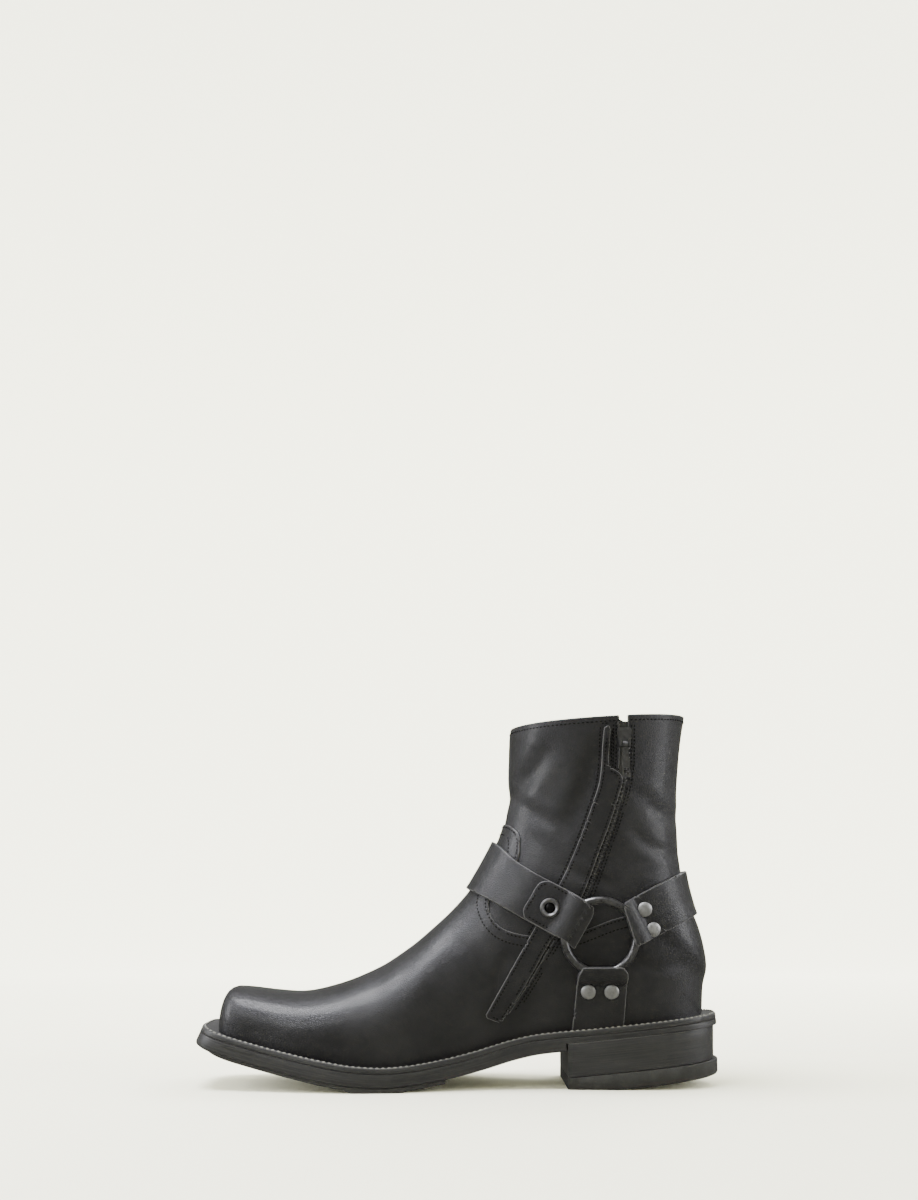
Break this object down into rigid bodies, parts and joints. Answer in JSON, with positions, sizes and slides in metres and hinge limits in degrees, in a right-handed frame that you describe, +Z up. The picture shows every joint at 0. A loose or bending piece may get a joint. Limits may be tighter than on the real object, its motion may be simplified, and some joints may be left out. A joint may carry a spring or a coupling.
{
  "type": "harness boot",
  "caption": "Men's black leather ankle boot for the right foot, with ring harness straps, an inside zip, a blunt square toe and a stacked heel.",
  "frame": {"origin": "middle of the boot's box at floor level", "axes": "toe towards -X, heel towards +X, inner side with the zip towards -Y, +Z up"},
  "size_m": [0.3096, 0.1112, 0.2186],
  "materials": {
    "upper_leather": "smooth semi-gloss black",
    "strap_leather": "smooth semi-gloss black",
    "sole_leather": "burnished black edge",
    "insole_leather": "matt lining leather",
    "sole_rubber": "matt black",
    "zip_tape": "woven black",
    "zip_metal": "dark gunmetal",
    "ring_metal": "glossy black nickel",
    "rivet_metal": "dull gunmetal",
    "snap_metal": "glossy black nickel"
  },
  "bodies": {
    "root": {"upper": "upper_leather", "insole": "insole_leather", "welt": "sole_leather", "outsole": "sole_leather", "forefoot_tread": "sole_rubber", "heel_stack": "sole_leather", "heel_top_lift": "sole_rubber", "zip_chain": "zip_tape", "zip_guard": "upper_leather", "zip_slider": "zip_metal", "strap_front": "strap_leather", "strap_back": "strap_leather", "strap_side_inner": "strap_leather", "strap_side_outer": "strap_leather", "snap_cap": "snap_metal", "rivet_back_inner_1": "rivet_metal", "rivet_back_inner_2": "rivet_metal", "rivet_side_inner_1": "rivet_metal", "rivet_side_inner_2": "rivet_metal", "rivet_front_outer_1": "rivet_metal", "rivet_front_outer_2": "rivet_metal", "rivet_back_outer_1": "rivet_metal", "rivet_back_outer_2": "rivet_metal", "rivet_side_outer_1": "rivet_metal", "rivet_side_outer_2": "rivet_metal"},
    "pull": {"zip_pull": "zip_metal"},
    "inner_ring": {"ring_inner": "ring_metal"},
    "outer_ring": {"ring_outer": "ring_metal"}
  },
  "joints": [
    {"name": "pull_swing", "type": "hinge", "parent": "root", "child": "pull", "pos_m": [0.0964, -0.05104, 0.1986], "axis": [-1, 0, 0], "range_deg": [0, 150]},
    {"name": "inner_ring_turn", "type": "hinge", "parent": "root", "child": "inner_ring", "pos_m": [0.0817, -0.04467, 0.088], "axis": [0, 1, 0], "continuous": true},
    {"name": "outer_ring_turn", "type": "hinge", "parent": "root", "child": "outer_ring", "pos_m": [0.0817, 0.04086, 0.088], "axis": [0, 1, 0], "continuous": true}
  ]
}
